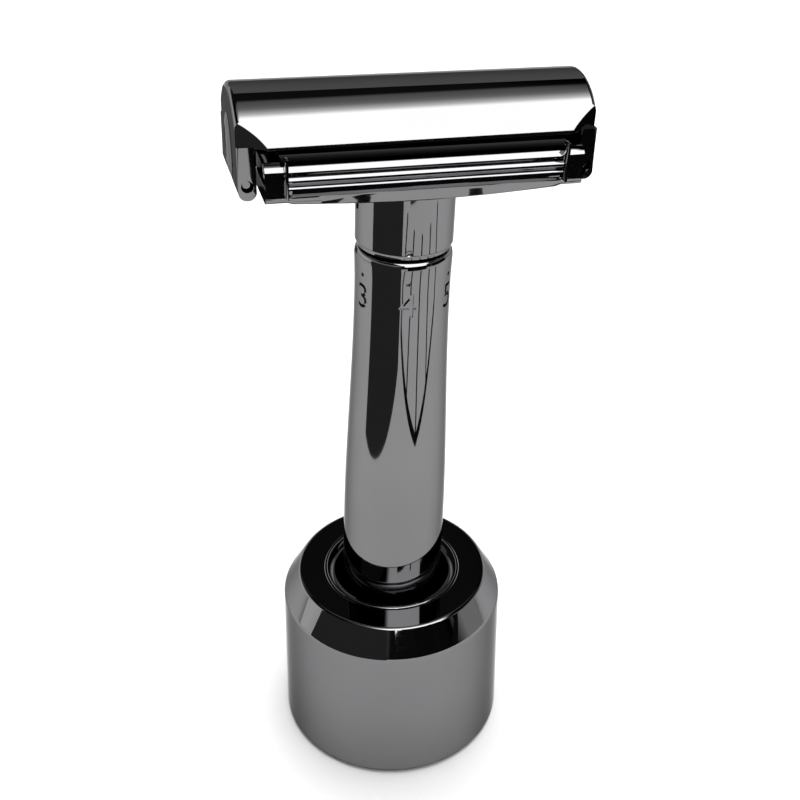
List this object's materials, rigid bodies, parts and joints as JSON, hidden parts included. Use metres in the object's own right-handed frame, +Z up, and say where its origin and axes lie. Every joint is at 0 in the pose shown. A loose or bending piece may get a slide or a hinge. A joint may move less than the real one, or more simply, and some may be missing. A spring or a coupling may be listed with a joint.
{
  "type": "safety razor",
  "caption": "Twist-to-adjust double-edge safety razor with a clip-on vaulted cap, standing in a short weighted cylindrical stand.",
  "frame": {"origin": "centre of the stand's underside, on the surface it rests on", "axes": "+Z up along the stand's axis; the head's length runs along X; the index mark and the numeral in use face -Y"},
  "size_m": [0.0487, 0.038, 0.1142],
  "materials": {
    "black_chrome": "black chrome, mirror polished",
    "steel": "bright machined steel",
    "spring_steel": "plain spring steel",
    "blade_steel": "polished blade steel with ground edges",
    "brass": "machined brass",
    "rubber": "matt black rubber",
    "felt": "dark felt disc"
  },
  "bodies": {
    "stand": {"stand_body": "black_chrome", "bore_lip": "black_chrome", "bore_pad": "felt", "ballast_plate": "steel", "base_screw": "steel", "foot_pad": "rubber"},
    "razor_frame": {"guard_frame": "black_chrome", "neck_collar": "black_chrome", "guide_tube": "brass", "retaining_ring": "spring_steel", "friction_ring": "rubber", "return_spring": "spring_steel"},
    "barrel": {"handle_barrel": "black_chrome", "adjuster_nut": "brass", "end_plug": "black_chrome"},
    "platform": {"blade_platform": "black_chrome", "spindle": "steel", "blade_stud_left": "steel", "blade_stud_right": "steel"},
    "blade": {"razor_blade": "blade_steel"},
    "cap": {"top_cap": "black_chrome", "clip_spring_left": "spring_steel", "clip_spring_right": "spring_steel", "clip_pin_left": "steel", "clip_pin_right": "steel"}
  },
  "joints": [
    {"name": "razor_lift", "type": "slide", "parent": "stand", "child": "razor_frame", "axis": [0.027, 0, 0.9996], "range_m": [0, 0.06]},
    {"name": "handle_twist", "type": "hinge", "parent": "razor_frame", "child": "barrel", "pos_m": [0, 0, 0.0305], "axis": [0.027, 0, 0.9996], "range_deg": [-120, 180]},
    {"name": "platform_travel", "type": "slide", "parent": "razor_frame", "child": "platform", "axis": [0.027, 0, 0.9996], "range_m": [-0.00035, 0.00024]},
    {"name": "blade_lift", "type": "slide", "parent": "platform", "child": "blade", "axis": [0.027, 0, 0.9996], "range_m": [0, 0.02]},
    {"name": "cap_pull", "type": "slide", "parent": "blade", "child": "cap", "axis": [0.027, 0, 0.9996], "range_m": [0, 0.04]}
  ],
  "couplings": [
    {"joint": "platform_travel", "follows": "handle_twist", "m_per_rad": -0.00011141}
  ]
}
